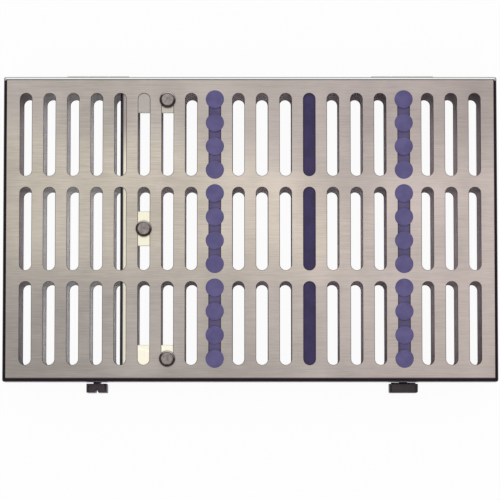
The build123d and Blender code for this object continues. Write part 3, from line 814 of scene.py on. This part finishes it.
# ================================================================ divider
divider_low, divider_high = box_mm("divider")
DIVIDER_BEND = 1.7
FOLD_X = divider_low[0] + DIVIDER_BEND
FOLD_LENGTH = DIVIDER_BEND * pi / 2
FRONT_REACH, REAR_REACH = -85.3, 86.3  # ends of the wall
WALL_TOP, SLOTS_HIGH, SLOTS_LOW, WALL_FOOT = 30.4, 21.0, 9.0, 2.4  # heights along the wall
DIVIDER_SLOTS = 5
DIVIDER_PITCH = 29.7
DIVIDER_MIDDLE = -4.0
slot_ys = DIVIDER_MIDDLE + DIVIDER_PITCH * (np.arange(DIVIDER_SLOTS + 1) - DIVIDER_SLOTS / 2)
REAR_SWING, SWING_HEIGHT = 13.6, 12.5  # radius of the rear edge about the hinge, and how far up it goes
FLANGE_REACH = 88.2
FLANGE_X = -70.2
TAB_HOLE = 2.2
# Tabs: their front and rear end, and the place x where they stop
TABS = {
    "rear": (68.6, FLANGE_REACH, -42.3),
    "middle": (-9.8, 9.8, -56.3),
    "front": (-FLANGE_REACH, -68.6, -42.3),
}


def fold(part):
    """(y, v, depth) to the divider: flange and tabs at v < 0, a quarter bend, then the wall down.
    x = fold - (b - w) sin a + max(-v, 0) and z = top - b + (b - w) cos a - max(v - b pi / 2, 0)."""
    y, v, w = part[0].T
    a = np.clip(v / DIVIDER_BEND, 0, pi / 2)
    x = FOLD_X - (DIVIDER_BEND - w) * np.sin(a) + np.maximum(-v, 0)
    z = divider_high[2] - DIVIDER_BEND + (DIVIDER_BEND - w) * np.cos(a) - np.maximum(v - FOLD_LENGTH, 0)
    return np.stack([x, y, z], axis=-1), part[1]


def drop(z):
    """Developed length v down to the height z of the wall."""
    return FOLD_LENGTH + divider_high[2] - DIVIDER_BEND - z


def out(x):
    """Developed length v out to the place x of the flange."""
    return FOLD_X - x


def swept(y, v):
    """y drawn in behind the last slot, so that the rear edge follows a circle about the hinge."""
    height = np.clip(divider_high[2] - DIVIDER_BEND + FOLD_LENGTH - v - HINGE_Z, 0, SWING_HEIGHT)
    edge = np.minimum(HINGE_Y - np.sqrt(REAR_SWING**2 - height**2), REAR_REACH)
    share = np.clip((y - slot_ys[-1]) / (REAR_REACH - slot_ys[-1]), 0, 1)
    return np.where(v < 0, y, y + share * (edge - REAR_REACH))


slot_band = [drop(SLOTS_HIGH), drop(SLOTS_LOW)]


def divider_slot(k):
    """The part of the wall between two nodes of slot_ys, with its slot."""
    ys = slot_ys[k : k + 2]
    slot = across(slot_hole(SLOT_WIDTH, SIDE_SLOT))
    return cell(slot, (ys.mean(), drop((SLOTS_HIGH + SLOTS_LOW) / 2)), ys, slot_band, SIDE_HOLE_EDGE)


def tab(place):
    """A tab of the flange, with the hole for its thumb screw."""
    front, rear, end = TABS[place]
    low, high = box_mm(f"divider_knob_{place}")
    x, y = (low + high)[:2] / 2
    return cell(round_hole(TAB_HOLE), (y, out(x)), (front, rear), (out(end), out(FLANGE_X)), edge=0.1)


band_vs = np.linspace(*slot_band, 13)
upper_vs = [*np.linspace(0, FOLD_LENGTH, 9), *np.linspace(drop(WALL_TOP), drop(SLOTS_HIGH), 9)]
wall_ys = [FRONT_REACH, slot_ys[-1], REAR_REACH]
sheet = join(
    blank(wall_ys, upper_vs),
    *[divider_slot(k) for k in range(DIVIDER_SLOTS)],
    blank([FRONT_REACH, slot_ys[0]], slot_band),
    blank([slot_ys[-1], REAR_REACH], band_vs),
    blank(wall_ys, [drop(SLOTS_LOW), drop(WALL_FOOT)]),
    blank([-FLANGE_REACH, FLANGE_REACH], [out(FLANGE_X), 0.0]),
    *[tab(place) for place in TABS],
)
# Its outline: up the rear edge, along the flange and its tabs, and down the front edge
comb = [(FLANGE_REACH, 0.0)]
for front, rear, end in TABS.values():
    comb += [(rear, out(FLANGE_X)), (rear, out(end)), (front, out(end)), (front, out(FLANGE_X))]
comb.append((-FLANGE_REACH, 0.0))
comb = [(y, v) for y, v in comb if abs(y) < FLANGE_REACH or v != out(FLANGE_X)]
down = np.array([*upper_vs, *band_vs[1:], drop(WALL_FOOT)])
rear_edge = np.column_stack([0 * down + REAR_REACH, down])[::-1]
front_edge = np.column_stack([0 * down + FRONT_REACH, down])
outline = np.concatenate([rear_edge, comb, front_edge])
outline[:, 0] = swept(*outline.T)
sheet = turned(sheet, x=lambda y, v, w: swept(y, v))
make("divider", "sheet", fold(join(sheet, edging(outline))), highlit_divider_steel, "lid")

# ================================================================ thumb screws of the divider
SHANK_RADIUS = 2.0
HEAD_RADIUS = 3.6
RECESS_Z = 1.2  # the collar's inner floor above its underside
BEVEL_IN, BEVEL_DOWN = 1.15, 1.7
KNURLS = 40
KNURL_DEPTH = 0.008  # share of the radius
KNURL_RADIUS, KNURL_FADE = 4.2, 0.6


def collar(radius, low, high):
    """Ring with a straight side and a bevel that is a quarter of an ellipse: inset BEVEL_IN (1 - cos t),
    drop BEVEL_DOWN (1 - sin t). A fine knurl, strongest at the rim, scales it by 1 - k (1 + cos 40 t)."""
    t = np.linspace(0, pi / 2, 6)
    bevel = np.column_stack([radius - BEVEL_IN * (1 - np.cos(t)), high - BEVEL_DOWN * (1 - np.sin(t))])
    recess = low + RECESS_Z
    profile = [(SHANK_RADIUS, low), (radius - 0.3, low), (radius, low + 0.3), *bevel]
    profile += [(HEAD_RADIUS, high - 0.1), (HEAD_RADIUS, recess), (SHANK_RADIUS, recess)]
    points, faces = lathe(profile, 3 * KNURLS, close=True)
    angle = np.arctan2(points[:, 1], points[:, 0])
    rim = np.clip((np.hypot(points[:, 0], points[:, 1]) - KNURL_RADIUS) / KNURL_FADE, 0, 1)
    points[:, :2] *= (1 - KNURL_DEPTH * rim * (1 + np.cos(KNURLS * angle)))[:, None]
    return points, faces


def thumb_screw(low, top, recess):
    """Shank with a bevelled tip, and a flat head in the collar's recess with a small dimple in its middle."""
    shank = [(0, low), (SHANK_RADIUS - 0.4, low), (SHANK_RADIUS, low + 0.5), (SHANK_RADIUS, recess)]
    head = [(HEAD_RADIUS, recess), (HEAD_RADIUS, top - 0.2), (HEAD_RADIUS - 0.2, top)]
    dish = [(0.5, top), (0.3, top - 0.15), (0, top - 0.15)]
    return lathe([*shank, *head, *dish])


for place in TABS:
    node, body = f"divider_knob_{place}", f"knob_{place}"
    knob_low, knob_high = box_mm(node)
    x, y = (knob_high + knob_low)[:2] / 2
    knob = shifted(collar(knob_high[0] - x, knob_low[2], knob_high[2]), x, y)
    make(node, "turned", knob, rim_steel, body)
    node = f"divider_screw_{place}"
    screw_low, screw_high = box_mm(node)
    screw = shifted(thumb_screw(screw_low[2], screw_high[2], knob_low[2] + RECESS_Z), x, y)
    make(node, "turned", screw, screw_steel, body)


# ================================================================ latches
def to_front(part, x, z):
    """Turns a part made about +z so that it points out of the front wall, and moves it to x and z."""
    return turned(part, x=lambda a, b, c: x + a, y=lambda a, b, c: -c, z=lambda a, b, c: z + b)


def sink(radius, distance):
    """How far a corner draws an edge in at the distance e from the end: r - sqrt(r r - (r - e) (r - e))."""
    return radius - np.sqrt(radius**2 - np.clip(radius - distance, 0, radius) ** 2)


GRIP_HALF_LENGTH, GRIP_HALF_WIDTH, GRIP_DEPTH = 8.5, 6.15, 5.2
GRIP_CORNER, GRIP_FACE_CORNER, GRIP_EDGE, GRIP_BACK_EDGE = 2.0, 0.9, 0.3, 0.2
GROOVE_HALF, GROOVE_DEPTH = 0.9, 2.6
BLADE_HALF_LENGTH, BLADE_HALF_WIDTH = 7.25, 1.9
BLADE_GAP = 1.1  # from the front wall to the blade
SHAFT_RADIUS, STUD_RADIUS = 2.5, 1.5
SHAFT_INSIDE = 0.5  # how far the shaft runs on past the wall


def grip_body(low, high):
    """Block along x with a V groove along its face and rounded long edges. At the distance e from a short
    end the section narrows by sink(GRIP_CORNER, e) and its face drops by sink(GRIP_FACE_CORNER, e)."""
    e = GRIP_CORNER * (1 - np.cos(np.linspace(0, pi / 2, 12)))
    us = np.concatenate([e - GRIP_HALF_LENGTH, GRIP_HALF_LENGTH - e[::-1]])
    corners = (sink(r, e) for r in (GRIP_CORNER, GRIP_FACE_CORNER))
    narrowing, dropping = (np.concatenate([c, c[::-1]])[:, None] for c in corners)
    a = np.linspace(0, pi / 2, 4)
    edge = np.column_stack([1 - np.sin(a), 1 - np.cos(a)])
    edge = (GRIP_HALF_WIDTH, high) - GRIP_EDGE * edge
    back = [(GRIP_HALF_WIDTH, low + GRIP_BACK_EDGE), (GRIP_HALF_WIDTH - GRIP_BACK_EDGE, low)]
    right = np.concatenate([[(GROOVE_HALF, high)], edge, back])
    section = np.concatenate([[(0, high - GROOVE_DEPTH)], right, right[::-1] * (-1, 1)])
    v, w = section.T
    u = np.repeat(us[:, None], len(section), axis=1)
    v = v - np.sign(v) * narrowing * (abs(v) > GROOVE_HALF)
    points = np.stack([u, v, w - dropping * (w > high - 1)], axis=-1)
    # Each short end is closed by its section drawn together in one point
    ends = points[[0, -1]] * (1, 0, 0) + (0, 0, low + 1)
    points, faces = surface(np.concatenate([ends[:1], points, ends[1:]]), close_columns=True)
    return points, faces[:, ::-1]


def grip(front, stud_end):
    """Grip, the blade behind it and the shaft with its stud, along +z from the middle of the box."""
    back = front - GRIP_DEPTH
    blade_back = walls_half[1] + BLADE_GAP
    shoulder = walls_half[1] - SHEET - SHAFT_INSIDE
    half = np.array([BLADE_HALF_LENGTH, BLADE_HALF_WIDTH])
    blade = bar((*-half, blade_back), (*half, back + 0.5), GRIP_EDGE)
    profile = [(0, stud_end), (STUD_RADIUS, stud_end), (STUD_RADIUS, shoulder), (SHAFT_RADIUS, shoulder)]
    profile += [(SHAFT_RADIUS, blade_back + 0.2), (0, blade_back + 0.2)]
    return join(grip_body(back, front), blade, lathe(profile, 32))


for side in ("left", "right"):
    node = f"latch_grip_{side}"
    low, high = box_mm(node)
    part = grip(-low[1], -high[1])
    if side == "left":
        part = turned(part, x=lambda a, b, c: -b, y=lambda a, b, c: a)
    part = to_front(part, (low + high)[0] / 2, LATCH_Z)
    make(node, "moulded", part, grip_plastic, f"latch_{side}")

BUSH_BORE, BUSH_NECK, BUSH_COLLAR = 2.55, 3.28, 4.6
wall_out, wall_in = walls_half[1], walls_half[1] - SHEET
neck = tube(BUSH_BORE, BUSH_NECK, wall_in - 0.05, wall_out)
bush = join(neck, tube(BUSH_BORE, BUSH_COLLAR, wall_out, wall_out + 0.8))
both_bushes = join(*[to_front(bush, x, LATCH_Z) for x in (-LATCH_X, LATCH_X)])
make("latch_bushes", "turned", both_bushes, fitting_steel, "base")

# ================================================================ hinges
HINGE_X = 90.0
KNUCKLE = 12.0
KNUCKLE_PITCH = 12.3
KNUCKLE_RADIUS = 1.5
PIN_BORE = 0.82
LEAF_HALF_LENGTH, LEAF, LEAF_CORNER, LEAF_EDGE = 18.3, 0.6, 1.2, 0.1


def knuckle(x, wall_y, root_zs):
    """One knuckle round the pin, and its root on the wall."""
    start, end = x - KNUCKLE / 2, x + KNUCKLE / 2
    root = bar((start, wall_y + 0.05, root_zs[0]), (end, wall_y + 1.1, root_zs[1]), LEAF_EDGE)
    barrel = tube(PIN_BORE, KNUCKLE_RADIUS, start, end)
    barrel = turned(barrel, x=lambda a, b, c: c, y=lambda a, b, c: HINGE_Y + a, z=lambda a, b, c: HINGE_Z + b)
    return join(root, barrel)


def hinge(node, body, wall_y, plate_zs, root_zs, knuckles):
    """Both leaves of one body: flat plates with round corners, and knuckles by their place along the pin."""
    outline = rounded_rectangle(LEAF_HALF_LENGTH, (plate_zs[1] - plate_zs[0]) / 2, LEAF_CORNER)
    plate = pad(outline, -wall_y - LEAF, -wall_y, LEAF_EDGE, LEAF_EDGE)
    parts = []
    for hinge_x in (-HINGE_X, HINGE_X):
        parts.append(to_front(plate, hinge_x, sum(plate_zs) / 2))
        parts += [knuckle(hinge_x + (k - 1) * KNUCKLE_PITCH, wall_y, root_zs) for k in knuckles]
    make(node, "rolled", join(*parts), fitting_steel, body)


hinge("base_hinge_leaves", "base", walls_half[1], plate_zs=(8.0, 16.0), root_zs=(15.0, 17.0), knuckles=(0, 2))
hinge("lid_hinge_leaves", "lid", skirt_half[1], plate_zs=(20.0, 28.0), root_zs=(19.0, 21.0), knuckles=(1,))

# ================================================================ CAD pieces that are shown as they are
for node, material, slot in (
    ("latch_keepers", keeper_steel, "sheet_steel"),
    ("hinge_pins", fitting_steel, "turned_steel"),
    ("divider_nuts", fitting_steel, "turned_steel"),
    ("latch_cam_left", fitting_steel, "turned_steel"),
    ("latch_cam_right", fitting_steel, "turned_steel"),
    ("latch_nut_left", fitting_steel, "turned_steel"),
    ("latch_nut_right", fitting_steel, "turned_steel"),
):
    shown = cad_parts[node]
    shown.data.materials.clear()
    shown.data.materials.append(material)

# ================================================================ studio
FLOOR_Z = -0.05 * MM
FLOOR_HALF = 6.0


def stage_quad(name, corners, material):
    """A flat piece of the studio, its corners in metres."""
    mesh = bpy.data.meshes.new(name)
    mesh.from_pydata(corners, [], [(0, 1, 2, 3)])
    mesh.materials.append(material)
    piece = bpy.data.objects.new(name.replace(" ", "_"), mesh)
    bpy.context.collection.objects.link(piece)
    return piece


# The floor shows white to the camera and in reflections, with the cassette's shadow on it
floor_material = bpy.data.materials.new("studio floor")
floor_material.use_nodes = True
tree = floor_material.node_tree
tree.nodes.clear()
start = Value(tree)
paper = start.node("ShaderNodeBsdfDiffuse", {"Color": (0.8, 0.8, 0.8, 1.0)})
white = start.node("ShaderNodeEmission", {"Color": (1.0, 1.0, 1.0, 1.0), "Strength": 1.0})
rays = ("Is Camera Ray", "Is Glossy Ray", "Is Transmission Ray")
camera_ray, glossy_ray, clear_ray = (start.node("ShaderNodeLightPath", output=ray) for ray in rays)
seen = (camera_ray + glossy_ray + clear_ray).clamp()
mixed = start.node("ShaderNodeMixShader", {0: seen * 0.95, 1: paper, 2: white})
output = tree.nodes.new("ShaderNodeOutputMaterial")
tree.links.new(mixed.socket, output.inputs["Surface"])
corners = [(x * FLOOR_HALF, y * FLOOR_HALF, FLOOR_Z) for x, y in ((-1, -1), (1, -1), (1, 1), (-1, 1))]
stage_quad("studio floor", corners, floor_material)

# The room is white all round
world = bpy.data.worlds.new("studio")
bpy.context.scene.world = world
world.use_nodes = True
world.node_tree.nodes["Background"].inputs["Color"].default_value = (1.0, 0.99, 0.975, 1.0)

# Grey cards at the left, right and front, which only the metal's reflections show
card_material = bpy.data.materials.new("grey card")
card_material.use_nodes = True
card_shader = card_material.node_tree.nodes["Principled BSDF"]
card_shader.inputs["Base Color"].default_value = (0.5, 0.47, 0.5, 1.0)
card_shader.inputs["Roughness"].default_value = 1.0
CARD_X, CARD_Y, CARD_TOP = 0.6, 0.7, 1.4
for name, (x0, y0), (x1, y1) in (
    ("left card", (-CARD_X, CARD_Y), (-CARD_X, -CARD_Y)),
    ("right card", (CARD_X, -CARD_Y), (CARD_X, CARD_Y)),
    ("front card", (-CARD_X, -CARD_Y), (CARD_X, -CARD_Y)),
):
    card = stage_quad(name, [(x0, y0, 0), (x1, y1, 0), (x1, y1, CARD_TOP), (x0, y0, CARD_TOP)], card_material)
    card.visible_camera = card.visible_diffuse = card.visible_transmission = card.visible_shadow = False


def link_facing(name, data, place, target):
    """An object of the studio at a place, turned to face the target, both in metres."""
    piece = bpy.data.objects.new(name, data)
    bpy.context.collection.objects.link(piece)
    piece.location = place
    piece.rotation_mode = "QUATERNION"
    piece.rotation_quaternion = (Vector(target) - Vector(place)).to_track_quat("-Z", "Y")
    return piece


key = bpy.data.lights.new("key", "AREA")
key.shape = "RECTANGLE"
key.size, key.size_y = 0.4, 0.2
key.energy = 0.8
link_facing("key", key, place=(0.16, 0.22, 1.9), target=(0.02, 0.03, 0.03))

# ================================================================ camera
ELEVATION = radians(85.5)
DISTANCE = 1.76
aim = Vector((-0.15, -12.6, 33.0)) * MM
away = Vector((0.0, -cos(ELEVATION), sin(ELEVATION))) * DISTANCE
camera_data = bpy.data.cameras.new("camera")
camera_data.sensor_width = 36.0
camera_data.lens = 216.35
bpy.context.scene.camera = link_facing("camera", camera_data, place=aim + away, target=aim)

bpy.context.scene.view_settings.view_transform = "Standard"
